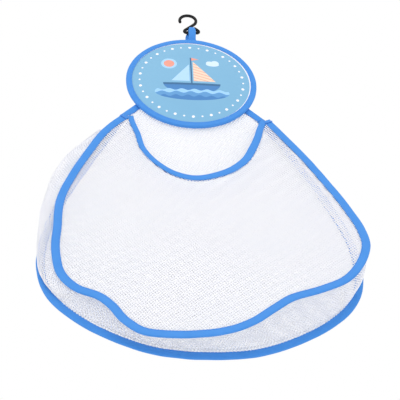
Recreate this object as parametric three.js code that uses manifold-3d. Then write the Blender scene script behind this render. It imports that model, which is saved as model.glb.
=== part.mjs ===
import * as THREE from "three";
import { mergeVertices } from "three/addons/utils/BufferGeometryUtils.js";
import Module from "manifold-3d";

// A hanging mesh bag for bath toys: a wire hook, a ribbon loop, a round padded head and a bag of mesh.
// Lengths are in millimetres and +Z is up. The origin is the inside of the hook's crown, where it hangs,
// the front of the bag faces -Y, and +X is to the right of someone who looks at the front.

// Cloth, tape and the air between pieces
const gap = 0.3;
const meshThickness = 0.8;
const tapeThickness = 0.5;
const clothThickness = 0.6;

// Hook: a ring of wire, open on the left, with a stem that runs at 45 degrees into a three-cornered base
const hookWire = 3.4;
const hookRadius = 10;
const hookBaseDrop = 22.5;
const hookBarLength = 12.5;
const hookCornerRadius = 2.5;
const hookTailGap = 0.6;
const hookTipDegrees = 205;
const hookSides = 8;

// Ribbon loop
const ribbonWidth = 10;
const ribbonThickness = 0.8;
const ribbonTail = 14;
const ribbonPinch = 14;
const tackHeight = 2;
const tackThickness = 0.7;

// Head: its centre lies this far under the origin
const headDrop = 126.5;
const headRadius = 77.5;
const headBandWidth = 7;
const headBackPlane = -0.1;
const padEdge = 1.2;
const headCrown = 2.4;
const headSegments = 48;
const crownRings = 7;

// Neck: the mesh hangs from a folded tape behind the head
const seamDrop = 33.5;
const seamHeight = 8;
const seamThickness = 2.9;
const neckHalfWidth = 57;
const neckBandWidth = 7.5;

// Bag: its shoulders lie this far under the head's centre
const rearPlane = 1.5;
const shoulderDrop = 58.5;
const bagHalfWidth = 171;
const bagHeight = 358.5;
const hoopBandWidth = 9.5;
const hoopWire = 1.2;
const beadRadius = 0.75;
const wireSides = 6;

// How far the front wall stands off the rear wall: at the shoulders, and what is added at the bottom,
// in the middle and more to the right than to the left
const shoulderStandoff = 4.2;
const bottomStandoff = 36;
const standoffTwist = 20;
const bellyShare = 0.03;
const bellyRows = 4;

// Mouth: its ends lie this far in from the front hoop's ends
const mouthDepth = 115.5;
const mouthInset = 6.5;
const mouthBandWidth = 6.5;
const mouthSteps = 36;

// Gusset: the cloth's flat width at its fullest place
const gussetWidth = 60;
const gussetRows = 4;

// Outline shares. Across they are shares of bagHalfWidth, down they are shares of bagHeight from the
// shoulders. The rear half outline is mirrored. The front one runs from left shoulder to right shoulder.
const rearHalfShares = [
  [0.468, 0],
  [0.667, 0.184],
  [0.889, 0.413],
  [0.982, 0.56],
  [0.996, 0.69],
  [0.94, 0.781],
  [0.81, 0.856],
  [0.6, 0.927],
  [0.32, 0.984],
  [0, 1],
];
const frontShares = [
  [-0.455, 0.012],
  [-0.585, 0.085],
  [-0.712, 0.204],
  [-0.818, 0.321],
  [-0.886, 0.425],
  [-0.903, 0.55],
  [-0.91, 0.64],
  [-0.872, 0.745],
  [-0.778, 0.805],
  [-0.647, 0.841],
  [-0.57, 0.88],
  [-0.49, 0.943],
  [-0.372, 0.992],
  [-0.142, 1.012],
  [0.101, 1.005],
  [0.259, 0.974],
  [0.408, 0.917],
  [0.51, 0.88],
  [0.684, 0.849],
  [0.843, 0.81],
  [0.946, 0.745],
  [1.012, 0.655],
  [1.0, 0.575],
  [0.925, 0.453],
  [0.829, 0.334],
  [0.72, 0.213],
  [0.589, 0.091],
  [0.5, 0.012],
];
// The mouth: shares of the way from its left end to its right end, and of mouthDepth from the shoulders
const mouthShares = [
  [0, 0.12],
  [0.038, 0.31],
  [0.082, 0.56],
  [0.168, 0.75],
  [0.287, 0.91],
  [0.431, 0.99],
  [0.541, 0.98],
  [0.709, 0.88],
  [0.838, 0.71],
  [0.934, 0.42],
  [1, 0.12],
];
// The gusset from left shoulder to right shoulder: its flat width, as shares of gussetWidth, and how much of
// its slack leans out past the hoops (up to 1) or in between them (down to -1)
const gussetWidthShares = [0.3, 0.85, 1, 1, 0.95, 0.9, 0.9, 0.9, 0.95, 1, 1, 0.75, 0.3];
const leanShares = [0.6, 0.95, 0.68, 0.1, -0.4, -0.7, -0.8, -0.8, -0.8, -0.8, -0.8, -0.8, -0.5];
// A strip held at both edges bows by this share of the root of its squared width less its squared span
const bowShare = 0.48;
// The two seams that part the gusset into three lengths, as shares of the way round
const gussetSeamShares = [0.3, 0.7];
const stepsPerPoint = 2;
const gussetStart = 2;
const tackPlace = 0.3;

// The net of the two walls is open. Its many small holes are drawn as a plain grid of larger ones: how many
// fit across the bag, how wide each is as a share of its place, and how far they keep from the tapes
const netHolesAcross = 10;
const netHoleShare = 0.6;
const netHoleInset = 2;

const shoulderZ = -headDrop - shoulderDrop;
const headZ = -headDrop;
const hookWireRadius = hookWire / 2;
const ringZ = -(hookRadius - hookWireRadius);
const barZ = ringZ - hookBaseDrop;

const blueTape = { color: 0x4c9cf0, roughness: 0.75, metalness: 0 };
const whiteMesh = { color: 0xf3f4fe, roughness: 0.85, metalness: 0 };
const printedCloth = { color: 0x8ec5e8, roughness: 0.6, metalness: 0 };
const whiteFoam = { color: 0xf4f4f0, roughness: 0.95, metalness: 0 };
const blackWire = { color: 0x151517, roughness: 0.35, metalness: 0.2 };
const springSteel = { color: 0x9aa0a6, roughness: 0.35, metalness: 1 };
const whiteBead = { color: 0xe9ebee, roughness: 0.5, metalness: 0 };
const blueThread = { color: 0x3b82d6, roughness: 0.8, metalness: 0 };

const organizer = new THREE.Group();
const wasm = await Module();
wasm.setup();

function addPiece(name, geometry, look) {
  const mesh = new THREE.Mesh(geometry, new THREE.MeshStandardMaterial(look));
  mesh.name = name;
  organizer.add(mesh);
  return mesh;
}

// Moves every vertex of a geometry to the place that a function gives for it.
function reshape(geometry, place) {
  const position = geometry.getAttribute("position");
  const vertex = new THREE.Vector3();
  for (let i = 0; i < position.count; i++) {
    vertex.fromBufferAttribute(position, i);
    const moved = place(vertex);
    position.setXYZ(i, moved.x, moved.y, moved.z);
  }
  geometry.computeVertexNormals();
  return geometry;
}

// A station is a place on an edge: a point, the way out of the edge (out) and across the cloth (across).
function stationBetween(stations, place) {
  const low = Math.min(Math.floor(place), stations.length - 2);
  const share = place - low;
  const from = stations[low];
  const to = stations[low + 1];
  const mix = (name) => from[name].clone().lerp(to[name], share);
  return { point: mix("point"), out: mix("out"), across: mix("across") };
}

function offsetPoint(station, out, across) {
  return station.point.clone().addScaledVector(station.out, out).addScaledVector(station.across, across);
}

// Carries a closed section along stations: section x goes along out, and section y along across.
function sweep(section, stations) {
  const steps = stations.length - 1;
  const settings = { depth: 1, steps, bevelEnabled: false };
  return reshape(new THREE.ExtrudeGeometry(section, settings), (v) => {
    return offsetPoint(stations[Math.round(v.z * steps)], v.x, v.y);
  });
}

// A sheet of cloth: columns by rows, with its place and its direction across given by a function.
function sheet(columns, rows, thickness, placeAt) {
  const unitBox = new THREE.BoxGeometry(1, 1, 1, columns, rows, 1);
  return reshape(unitBox, (v) => {
    const place = placeAt(Math.round((v.x + 0.5) * columns), Math.round((v.y + 0.5) * rows));
    return place.point.clone().addScaledVector(place.across, v.z * thickness);
  });
}

function solidOf(geometry) {
  const bare = geometry.clone();
  bare.deleteAttribute("normal");
  bare.deleteAttribute("uv");
  const merged = mergeVertices(bare, 1e-3);
  const vertProperties = merged.getAttribute("position").array;
  const triVerts = new Uint32Array(merged.index.array);
  return new wasm.Manifold(new wasm.Mesh({ numProp: 3, vertProperties, triVerts }));
}

function geometryOf(solid) {
  const { vertProperties, triVerts } = solid.getMesh();
  const geometry = new THREE.BufferGeometry();
  geometry.setAttribute("position", new THREE.BufferAttribute(vertProperties, 3));
  geometry.setIndex(new THREE.BufferAttribute(triVerts, 1));
  geometry.computeVertexNormals();
  return geometry;
}

function arcPoints(centreX, centreZ, radius, fromDegrees, toDegrees, count) {
  return Array.from({ length: count + 1 }, (_, i) => {
    const angle = THREE.MathUtils.degToRad(fromDegrees + ((toDegrees - fromDegrees) * i) / count);
    return new THREE.Vector3(centreX + radius * Math.cos(angle), 0, centreZ + radius * Math.sin(angle));
  });
}

function circleSection(radius, sides) {
  const points = Array.from({ length: sides }, (_, i) => {
    const angle = (2 * Math.PI * i) / sides;
    return new THREE.Vector2(radius * Math.cos(angle), radius * Math.sin(angle));
  });
  return new THREE.Shape(points);
}

// Tape folded round an edge: flat walls that widen into a round fold of the given inner radius.
function foldSection(width, lipHalfGap, foldRadius, arcSteps) {
  const centre = width / 2 - tapeThickness - foldRadius;
  const fold = (radius) =>
    Array.from({ length: arcSteps + 1 }, (_, i) => {
      const angle = -Math.PI / 2 + (Math.PI * i) / arcSteps;
      return new THREE.Vector2(centre + radius * Math.cos(angle), radius * Math.sin(angle));
    });
  const lip = (half) => new THREE.Vector2(-width / 2, half);
  const outerHalf = lipHalfGap + tapeThickness;
  return new THREE.Shape([
    lip(-outerHalf),
    ...fold(foldRadius + tapeThickness),
    lip(outerHalf),
    lip(lipHalfGap),
    ...fold(foldRadius).reverse(),
    lip(-lipHalfGap),
  ]);
}

// Hook
const stemReach = Math.SQRT2 * (hookRadius + hookCornerRadius);
const cornerZ = barZ + hookCornerRadius;
const leftCornerX = cornerZ - ringZ + stemReach;
const rightCornerX = leftCornerX + hookBarLength;
const barCentreX = (leftCornerX + rightCornerX) / 2;

function hookGeometry() {
  const ring = arcPoints(0, ringZ, hookRadius, hookTipDegrees, -45, 13);
  const left = arcPoints(leftCornerX, cornerZ, hookCornerRadius, 135, 270, 6);
  const right = arcPoints(rightCornerX, cornerZ, hookCornerRadius, -90, 45, 6);
  const tailStart = right[right.length - 1];
  const stemDistance = (tailStart.x - tailStart.z + ringZ - Math.SQRT2 * hookRadius) / Math.SQRT2;
  const tailLength = stemDistance - hookWire - hookTailGap;
  const tailEnd = tailStart.clone().add(new THREE.Vector3(-1, 0, 1).setLength(tailLength));
  const points = [...ring, ...left, ...right, tailEnd];
  const path = new THREE.CatmullRomCurve3(points, false, "centripetal");
  const settings = { steps: 60, bevelEnabled: false, extrudePath: path };
  return new THREE.ExtrudeGeometry(circleSection(hookWireRadius, hookSides), settings);
}

// Ribbon loop: its side view is a drop with a tail, drawn with x along Y and y along Z, carried along X
const headTopZ = headZ + headRadius;
const eyeRadius = hookWireRadius + gap;
const tailFront = headBackPlane + gap;
const tailBack = tailFront + 2 * ribbonThickness;
const tailBottomZ = headTopZ - ribbonTail;
const pinchZ = barZ - ribbonPinch;

function ribbonGeometry() {
  const outer = eyeRadius + ribbonThickness;
  const outline = new THREE.Shape();
  outline.moveTo(tailFront, tailBottomZ);
  outline.lineTo(tailBack, tailBottomZ);
  outline.lineTo(tailBack, pinchZ);
  outline.lineTo(outer, barZ);
  outline.absarc(0, barZ, outer, 0, Math.PI, false);
  outline.lineTo(tailFront, pinchZ);
  const eye = new THREE.Path();
  eye.moveTo((tailFront + tailBack) / 2, pinchZ + ribbonThickness);
  eye.lineTo(-eyeRadius, barZ);
  eye.absarc(0, barZ, eyeRadius, Math.PI, 0, true);
  outline.holes.push(eye);
  const settings = { depth: ribbonWidth, bevelEnabled: false, curveSegments: 8 };
  const turn = new THREE.Matrix4().makeBasis(
    new THREE.Vector3(0, 1, 0),
    new THREE.Vector3(0, 0, 1),
    new THREE.Vector3(1, 0, 0),
  );
  const geometry = new THREE.ExtrudeGeometry(outline, settings).applyMatrix4(turn);
  return geometry.translate(barCentreX - ribbonWidth / 2, 0, 0);
}

function tackGeometry(width) {
  return new THREE.BoxGeometry(width, tackThickness, tackHeight);
}

// Head: lathed round its own axis, which runs along Y
const backPanelBack = headBackPlane - tapeThickness - gap;
const padBack = backPanelBack - clothThickness - gap;
const frontPanelBack = padBack - padEdge - gap;
const bandFrontInner = frontPanelBack - clothThickness - gap;
const bandFront = bandFrontInner - tapeThickness;
const discRadius = headRadius - tapeThickness - gap;

function crownAt(radius) {
  const share = Math.min(radius / (headRadius - headBandWidth), 1);
  return headCrown * (1 - share * share) ** 2;
}

// A disc with a flat or crowned back and front; profile points run from the axis, out and back to it.
function discGeometry(back, front, backCrowned, frontCrowned) {
  const radii = Array.from({ length: crownRings + 1 }, (_, i) => (discRadius * i) / crownRings);
  const face = (plane, crowned) =>
    radii.map((radius) => new THREE.Vector2(radius, plane - (crowned ? crownAt(radius) : 0)));
  const profile = [...face(front, frontCrowned), ...face(back, backCrowned).reverse()];
  return new THREE.LatheGeometry(profile, headSegments).translate(0, 0, headZ);
}

function headBindingGeometry() {
  const inner = headRadius - headBandWidth;
  const wall = headRadius - tapeThickness;
  const profile = [
    [inner, bandFront],
    [wall, bandFront],
    [headRadius, bandFrontInner],
    [headRadius, headBackPlane - tapeThickness],
    [wall, headBackPlane],
    [inner, headBackPlane],
    [inner, headBackPlane - tapeThickness],
    [wall, headBackPlane - tapeThickness],
    [wall, bandFrontInner],
    [inner, bandFrontInner],
    [inner, bandFront],
  ].map(([radius, y]) => new THREE.Vector2(radius, y));
  return new THREE.LatheGeometry(profile, headSegments).translate(0, 0, headZ);
}

// Bag outlines
const acrossBag = new THREE.Vector3(0, 1, 0);

function standoffAt(x, z) {
  const down = (shoulderZ - z) / bagHeight;
  return shoulderStandoff + down * (bottomStandoff + (standoffTwist * x) / bagHalfWidth);
}

function frontPoint(x, z) {
  return new THREE.Vector3(x, rearPlane - standoffAt(x, z), z);
}

function frontAcross(x, z) {
  const down = (shoulderZ - z) / bagHeight;
  const slopeX = (-down * standoffTwist) / bagHalfWidth;
  const slopeZ = (bottomStandoff + (standoffTwist * x) / bagHalfWidth) / bagHeight;
  return new THREE.Vector3(-slopeX, 1, -slopeZ).normalize();
}

function bagPoint([across, down]) {
  return new THREE.Vector3(across * bagHalfWidth, 0, shoulderZ - down * bagHeight);
}

function flatCurve(points) {
  return new THREE.CatmullRomCurve3(points, false, "centripetal");
}

// Stations of an outline, given as points on the flat: lift puts them on the wall, outSign turns out round.
function stationsOf(flat, tangents, lift, acrossAt, outSign) {
  return flat.map((point, i) => {
    const across = acrossAt(point.x, point.z);
    const before = lift(point.x - tangents[i].x * gap, point.z - tangents[i].z * gap);
    const after = lift(point.x + tangents[i].x * gap, point.z + tangents[i].z * gap);
    const along = after.sub(before).normalize();
    const out = across.clone().cross(along).normalize().multiplyScalar(outSign);
    return { point: lift(point.x, point.z), out, across: along.cross(out).normalize() };
  });
}

const mirrored = rearHalfShares.slice(0, -1).reverse();
const rearCurve = flatCurve([
  ...rearHalfShares.map(([across, down]) => bagPoint([-across, down])),
  ...mirrored.map(bagPoint),
]);
const frontCurve = flatCurve(frontShares.map(bagPoint));
const hoopSteps = (frontShares.length - 1) * stepsPerPoint;
const hoopPlaces = Array.from({ length: hoopSteps + 1 }, (_, i) => i / hoopSteps);

const frontFlat = hoopPlaces.map((place) => frontCurve.getPoint(place));
const frontTangents = hoopPlaces.map((place) => frontCurve.getTangent(place));
const runs = frontFlat.map((point, i) => (i ? point.distanceTo(frontFlat[i - 1]) : 0));
const frontLength = runs.reduce((sum, run) => sum + run, 0);
let reached = 0;
const lengthShares = runs.map((run) => (reached += run) / frontLength);

const rearLift = (x, z) => new THREE.Vector3(x, rearPlane, z);
const frontStations = stationsOf(frontFlat, frontTangents, frontPoint, frontAcross, 1);
const rearStations = stationsOf(
  lengthShares.map((share) => rearCurve.getPointAt(share)),
  lengthShares.map((share) => rearCurve.getTangentAt(share)),
  rearLift,
  () => acrossBag.clone(),
  1,
);

// Mouth
const mouthLeftX = frontFlat[0].x + mouthInset;
const mouthRightX = frontFlat[hoopSteps].x - mouthInset;
const mouthCurve = flatCurve(
  mouthShares.map(([across, down]) => {
    const x = THREE.MathUtils.lerp(mouthLeftX, mouthRightX, across);
    return new THREE.Vector3(x, 0, shoulderZ - down * mouthDepth);
  }),
);

function mouthStations(steps) {
  const places = Array.from({ length: steps + 1 }, (_, i) => i / steps);
  return stationsOf(
    places.map((place) => mouthCurve.getPointAt(place)),
    places.map((place) => mouthCurve.getTangentAt(place)),
    frontPoint,
    frontAcross,
    -1,
  );
}

// How deep a wall's edge goes into its tape, from the middle of the tape's width
const lipHalfGap = meshThickness / 2 + gap;
const foldRadius = beadRadius + gap;
const wireOut = hoopBandWidth / 2 - tapeThickness - foldRadius;
const hoopEdgeOut = wireOut - beadRadius - gap;
const mouthEdgeOut = mouthBandWidth / 2 - tapeThickness - lipHalfGap;
const neckEdgeOut = neckBandWidth / 2 - tapeThickness - lipHalfGap;
const hoopFold = foldSection(hoopBandWidth, lipHalfGap, foldRadius, 4);
const mouthFold = foldSection(mouthBandWidth, lipHalfGap, lipHalfGap, 2);
const neckFold = foldSection(neckBandWidth, lipHalfGap, lipHalfGap, 2);

// Front wall: columns run from the mouth's edge to the hoop's edge, flat in the tapes and bellied between
const mouthHeld = mouthBandWidth / 2 + gap;
const hoopHeld = hoopBandWidth / 2 + gap;

function frontPanelGeometry() {
  const mouthLine = mouthStations(hoopSteps);
  const lastRow = bellyRows + 2;
  const onWall = (flat, belly) => {
    const across = frontAcross(flat.x, flat.z);
    return { point: frontPoint(flat.x, flat.z).addScaledVector(across, -belly), across };
  };
  return sheet(hoopSteps, lastRow, meshThickness, (column, row) => {
    if (row === 0) return onWall(offsetPoint(mouthLine[column], mouthEdgeOut, 0), 0);
    if (row === lastRow) return onWall(offsetPoint(frontStations[column], hoopEdgeOut, 0), 0);
    const share = (row - 1) / bellyRows;
    const from = offsetPoint(mouthLine[column], -mouthHeld, 0);
    const to = offsetPoint(frontStations[column], -hoopHeld, 0);
    const belly = bellyShare * from.distanceTo(to) * Math.sin(Math.PI * share);
    return onWall(from.lerp(to, share), belly);
  });
}

// Holes of the net: those places of the grid whose hole lies wholly inside the wall's tapes
const netPitch = (2 * bagHalfWidth) / netHolesAcross;
const netHoleSize = netPitch * netHoleShare;
const netHoleDepth = 4 * (bottomStandoff + standoffTwist);

// Whether a place on the flat lies inside a closed line: a ray to the right crosses it an odd number of times.
function isInside(x, z, line) {
  const crossings = line.filter((from, i) => {
    const to = line[(i + 1) % line.length];
    if (from.z > z === to.z > z) return false;
    return x < from.x + ((z - from.z) * (to.x - from.x)) / (to.z - from.z);
  });
  return crossings.length % 2 === 1;
}

function holePlaces(line) {
  const rows = Math.ceil((bagHeight * 1.1) / netPitch);
  const places = [];
  for (let row = 0; row < rows; row++) {
    for (let column = 0; column < netHolesAcross; column++) {
      const x = (column + 0.5) * netPitch - bagHalfWidth;
      const z = shoulderZ - (row + 0.5) * netPitch;
      const edges = [-0.5, 0, 0.5].map((share) => share * netHoleSize);
      const isClear = edges.every((dx) => edges.every((dz) => isInside(x + dx, z + dz, line)));
      if (isClear) places.push([x, z]);
    }
  }
  return places;
}

function openNet(wall, line) {
  let solid = solidOf(wall);
  for (const [x, z] of holePlaces(line)) {
    const hole = new THREE.BoxGeometry(netHoleSize, netHoleDepth, netHoleSize).translate(x, 0, z);
    solid = solid.subtract(solidOf(hole));
  }
  return geometryOf(solid);
}

function frontFreeLine() {
  const hoopLine = frontStations.map((s) => offsetPoint(s, -hoopHeld - netHoleInset, 0));
  const mouthLine = mouthStations(mouthSteps).map((s) => offsetPoint(s, -mouthHeld - netHoleInset, 0));
  return [...hoopLine, ...mouthLine.reverse()];
}

function rearFreeLine() {
  return rearStations.map((s) => offsetPoint(s, -hoopHeld - netHoleInset, 0));
}

// Neck: a slanting edge from behind the head to each shoulder
const seamBottomZ = headZ - seamDrop;

function neckStations(side) {
  const edge = rearStations[side < 0 ? 0 : rearStations.length - 1];
  const top = rearLift(side * neckHalfWidth, seamBottomZ - gap);
  const along = edge.point.clone().sub(top).normalize();
  const out = new THREE.Vector3(-along.z, 0, along.x).multiplyScalar(side);
  // Both ends are cut on the slant: level under the seam tape, and square to the hoop at the shoulder
  const cut = (point, way) => ({ point, out: way.clone().divideScalar(way.dot(out)), across: acrossBag });
  const hoopWay = edge.out.clone().cross(acrossBag);
  const bottom = edge.point.clone().addScaledVector(along, -gap / Math.abs(hoopWay.dot(along)));
  const stations = [cut(top, new THREE.Vector3(side, 0, 0)), cut(bottom, edge.out)];
  return side < 0 ? stations : stations.reverse();
}

function rearPanelGeometry() {
  const neckEdge = (side) => neckStations(side).map((s) => offsetPoint(s, neckEdgeOut, 0));
  const hoopEdge = rearStations.map((s) => offsetPoint(s, hoopEdgeOut, 0));
  const outline = [...neckEdge(-1), ...hoopEdge, ...neckEdge(1)];
  const shape = new THREE.Shape(outline.map((p) => new THREE.Vector2(p.x, p.z)));
  const geometry = new THREE.ExtrudeGeometry(shape, { depth: meshThickness, bevelEnabled: false });
  return geometry.rotateX(Math.PI / 2).translate(0, rearPlane + meshThickness / 2, 0);
}

// Gusset: a strip from the rear binding to the front binding, bowed out or in between them
const hoopHalfThickness = foldRadius + tapeThickness;
const gussetInset = hoopHalfThickness + gap + meshThickness / 2;

function valueAlong(shares, place) {
  const at = (place / hoopSteps) * (shares.length - 1);
  const low = Math.min(Math.floor(at), shares.length - 2);
  return THREE.MathUtils.lerp(shares[low], shares[low + 1], at - low);
}

function gussetPlace(place, row) {
  const rear = stationBetween(rearStations, place);
  const front = stationBetween(frontStations, place);
  const from = offsetPoint(rear, 0, -gussetInset);
  const to = offsetPoint(front, 0, gussetInset);
  const share = row / gussetRows;
  const slack = (gussetWidth * valueAlong(gussetWidthShares, place)) ** 2 - from.distanceToSquared(to);
  const bow = valueAlong(leanShares, place) * bowShare * Math.sqrt(Math.max(slack, 0));
  const out = rear.out.clone().lerp(front.out, share).normalize();
  return from.lerp(to, share).addScaledVector(out, bow * Math.sin(Math.PI * share));
}

// The place that lies one gap before a station, so that two lengths of the strip don't touch.
function placeBefore(place) {
  return place - gap / frontFlat[place].distanceTo(frontFlat[place - 1]);
}

function gussetGeometry(start, end) {
  const steps = Math.round(end - start);
  return sheet(steps, gussetRows, meshThickness, (column, row) => {
    const place = THREE.MathUtils.lerp(start, end, column / steps);
    const point = gussetPlace(place, row);
    const ahead = gussetPlace(Math.min(place + 0.5, hoopSteps), row);
    const behind = gussetPlace(Math.max(place - 0.5, 0), row);
    const next = gussetPlace(place, Math.min(row + 1, gussetRows));
    const last = gussetPlace(place, Math.max(row - 1, 0));
    const across = ahead.sub(behind).cross(next.sub(last)).normalize();
    return { point, across };
  });
}

// Assembly
addPiece("hook", hookGeometry(), blackWire);
addPiece("hanging_loop", ribbonGeometry(), blueTape);
addPiece("loop_tack", tackGeometry(ribbonWidth), blueThread).position.set(
  barCentreX,
  tailBack + gap + tackThickness / 2,
  tailBottomZ + ribbonTail / 2,
);

const backPanel = discGeometry(backPanelBack, backPanelBack - clothThickness, false, false);
const frontPanel = discGeometry(frontPanelBack, frontPanelBack - clothThickness, true, true);
addPiece("head_back_panel", backPanel, printedCloth);
addPiece("head_pad", discGeometry(padBack, padBack - padEdge, false, true), whiteFoam);
addPiece("head_front_panel", frontPanel, printedCloth);
addPiece("head_binding", headBindingGeometry(), blueTape);

const seamWidth = 2 * neckHalfWidth + neckBandWidth;
const seamGeometry = new THREE.BoxGeometry(seamWidth, seamThickness, seamHeight);
addPiece("neck_seam_tape", seamGeometry, blueTape).position.set(
  0,
  backPanelBack + gap + seamThickness / 2,
  seamBottomZ + seamHeight / 2,
);
addPiece("neck_binding_left", sweep(neckFold, neckStations(-1)), blueTape);
addPiece("neck_binding_right", sweep(neckFold, neckStations(1)), blueTape);

const wireFold = circleSection(hoopWire / 2, wireSides);
for (const [name, stations] of [
  ["rear", rearStations],
  ["front", frontStations],
]) {
  const wireLine = stations.slice(1, -1).map((s) => ({ ...s, point: offsetPoint(s, wireOut, 0) }));
  addPiece(name + "_hoop_binding", sweep(hoopFold, stations), blueTape);
  addPiece(name + "_hoop_wire", sweep(wireFold, wireLine), springSteel);
  const ends = [
    ["left", wireLine[0], stations[0]],
    ["right", wireLine[wireLine.length - 1], stations[stations.length - 1]],
  ];
  for (const [side, wireEnd, edge] of ends) {
    const way = offsetPoint(edge, wireOut, 0).sub(wireEnd.point).setLength(beadRadius + gap);
    const sphere = new THREE.SphereGeometry(beadRadius, 8, 6);
    addPiece(`${name}_wire_bead_${side}`, sphere, whiteBead).position.copy(wireEnd.point).add(way);
  }
}
addPiece("rear_mesh_panel", openNet(rearPanelGeometry(), rearFreeLine()), whiteMesh);
addPiece("front_mesh_panel", openNet(frontPanelGeometry(), frontFreeLine()), whiteMesh);
addPiece("neckline_binding", sweep(mouthFold, mouthStations(mouthSteps)), blueTape);

const seams = gussetSeamShares.map((share) => Math.round(share * hoopSteps));
const gussetEnds = [gussetStart, ...seams, hoopSteps - gussetStart];
["gusset_left", "gusset_bottom", "gusset_right"].forEach((name, i) => {
  addPiece(name, gussetGeometry(gussetEnds[i], placeBefore(gussetEnds[i + 1])), whiteMesh);
});

for (const [name, station] of [
  ["shoulder_tack_left", stationBetween(frontStations, tackPlace)],
  ["shoulder_tack_right", stationBetween(frontStations, hoopSteps - tackPlace)],
]) {
  const tack = addPiece(name, tackGeometry(hoopBandWidth), blueThread);
  const along = new THREE.Vector3().crossVectors(station.out, station.across);
  tack.quaternion.setFromRotationMatrix(
    new THREE.Matrix4().makeBasis(station.out, station.across, along),
  );
  tack.position.copy(offsetPoint(station, 0, -(hoopHalfThickness + gap + tackThickness / 2)));
}

export default organizer;
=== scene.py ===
import math

import bmesh
import bpy
import numpy as np
from mathutils import Matrix, Vector, noise
from mathutils.bvhtree import BVHTree


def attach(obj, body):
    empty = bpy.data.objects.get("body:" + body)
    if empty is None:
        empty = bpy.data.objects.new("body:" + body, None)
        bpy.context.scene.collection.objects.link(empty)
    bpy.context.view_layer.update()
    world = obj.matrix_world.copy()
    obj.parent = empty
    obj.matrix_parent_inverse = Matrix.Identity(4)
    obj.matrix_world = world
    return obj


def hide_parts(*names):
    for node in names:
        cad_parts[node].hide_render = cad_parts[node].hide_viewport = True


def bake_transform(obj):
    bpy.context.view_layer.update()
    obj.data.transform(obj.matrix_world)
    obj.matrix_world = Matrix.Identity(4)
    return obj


# Bath toy organizer: the dressed pieces, finishes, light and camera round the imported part.
# Lengths are in millimetres, as in the part's source, and a mesh is scaled to metres when it is made.
# Sizes and outlines are the source's, and a change there is repeated here. Only the tapes of the mouth
# and the neck are wider than in the source, and the strip's lean differs.
MM = 0.001
MERGE = 1e-4

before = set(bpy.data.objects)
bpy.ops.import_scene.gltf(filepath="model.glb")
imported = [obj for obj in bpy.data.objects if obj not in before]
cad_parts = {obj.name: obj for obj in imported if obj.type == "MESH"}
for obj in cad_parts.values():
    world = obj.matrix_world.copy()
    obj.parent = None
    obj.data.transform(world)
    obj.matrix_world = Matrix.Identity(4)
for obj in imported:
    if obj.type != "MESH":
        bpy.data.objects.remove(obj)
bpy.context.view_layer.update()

# Cloth and tape
MESH_HALF = 0.32
TAPE = 0.5
TAPE_HALF_LIP = 1.2
# The sewn groove lies this far in from a tape's lip, and this deep
GROOVE = 1.4
GROOVE_DEPTH = 0.13
NET_CELL = (3.72, 4.46)
NET_THREAD = 1.2
STITCH_PITCH = 3.2
STITCH_LENGTH = 2.5
THREAD_RADIUS = 0.2

# Hook
HOOK_RADIUS = 10
HOOK_WIRE_RADIUS = 1.7
HOOK_COAT = 0.15
HOOK_BASE_DROP = 22.5
HOOK_BAR_LENGTH = 12.5
HOOK_CORNER_RADIUS = 2.5
HOOK_TAIL_GAP = 0.6

# Ribbon: its half width, the room that it has at the bar and how fast that grows below
RIBBON_HALF = 5
RIBBON_ROOM = 9.5
RIBBON_FLARE = 1.4
TACK_HEIGHT = 2

# Head
HEAD_Z = -126.5
HEAD_RADIUS = 77.5
HEAD_BAND_WIDTH = 7
HEAD_CROWN = 2.4
HEAD_TAPE_WALL = 1.2
HEAD_TAPE_HALF = 2.3
LINING_Y = (-0.9, -1.5)
FOAM_Y = (-1.8, -3.0)
HEAD_FACE_Y = -3.9
PRINT_THICKNESS = 0.6
SWELL_STEPS = 20

# Bag
REAR_PLANE = 1.5
FRONT_GAP = 4.2
FRONT_DEPTH = 36
FRONT_TWIST = 20
SHOULDER_Z = -185
BAG_HALF_WIDTH = 171
BAG_HEIGHT = 358.5
HOOP_BAND_WIDTH = 9.5
MOUTH_DEPTH = 115.5
MOUTH_INSET = 6.5
MOUTH_BAND_WIDTH = 8
MOUTH_TAPE_ENDS = [(-72.7, -189.5), (83.0, -189.0)]
# The tape's width along its length, as (share of the length, share of the width)
MOUTH_TAPE_SPREAD = [
    (0, 0.84), (0.32, 0.84), (0.48, 1.16), (0.62, 1.26), (0.8, 1.2), (0.95, 1.0), (1, 1.0),
]
NECK_HALF_WIDTH = 57
NECK_BAND_WIDTH = 7.5
NECK_TAPE_WIDTH = 8.6
SEAM_BOTTOM_Z = -160
SEAM_GAP = 0.3
GUSSET_WIDTH = 60
# Where the strip meets a hoop's tape: in from the lip's edge, and off the tape's middle
LIP_INSET = 0.9
LIP_LIFT = 1.3
HOOP_STEPS = 54
# Fine steps to each step round the hoops
FINE = 10

REAR_HALF = [
    (0.468, 0), (0.667, 0.184), (0.889, 0.413), (0.982, 0.56), (0.996, 0.69),
    (0.94, 0.781), (0.81, 0.856), (0.6, 0.927), (0.32, 0.984), (0, 1),
]
FRONT = [
    (-0.455, 0.012), (-0.585, 0.085), (-0.712, 0.204), (-0.818, 0.321), (-0.886, 0.425),
    (-0.903, 0.55), (-0.91, 0.64), (-0.872, 0.745), (-0.778, 0.805), (-0.647, 0.841),
    (-0.57, 0.88), (-0.49, 0.943), (-0.372, 0.992), (-0.142, 1.012), (0.101, 1.005),
    (0.259, 0.974), (0.408, 0.917), (0.51, 0.88), (0.684, 0.849), (0.843, 0.81),
    (0.946, 0.745), (1.012, 0.655), (1.0, 0.575), (0.925, 0.453), (0.829, 0.334),
    (0.72, 0.213), (0.589, 0.091), (0.5, 0.012),
]
MOUTH = [
    (0, 0.12), (0.038, 0.31), (0.082, 0.56), (0.168, 0.75), (0.287, 0.91), (0.431, 0.99),
    (0.541, 0.98), (0.709, 0.88), (0.838, 0.71), (0.934, 0.42), (1, 0.12),
]
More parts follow.
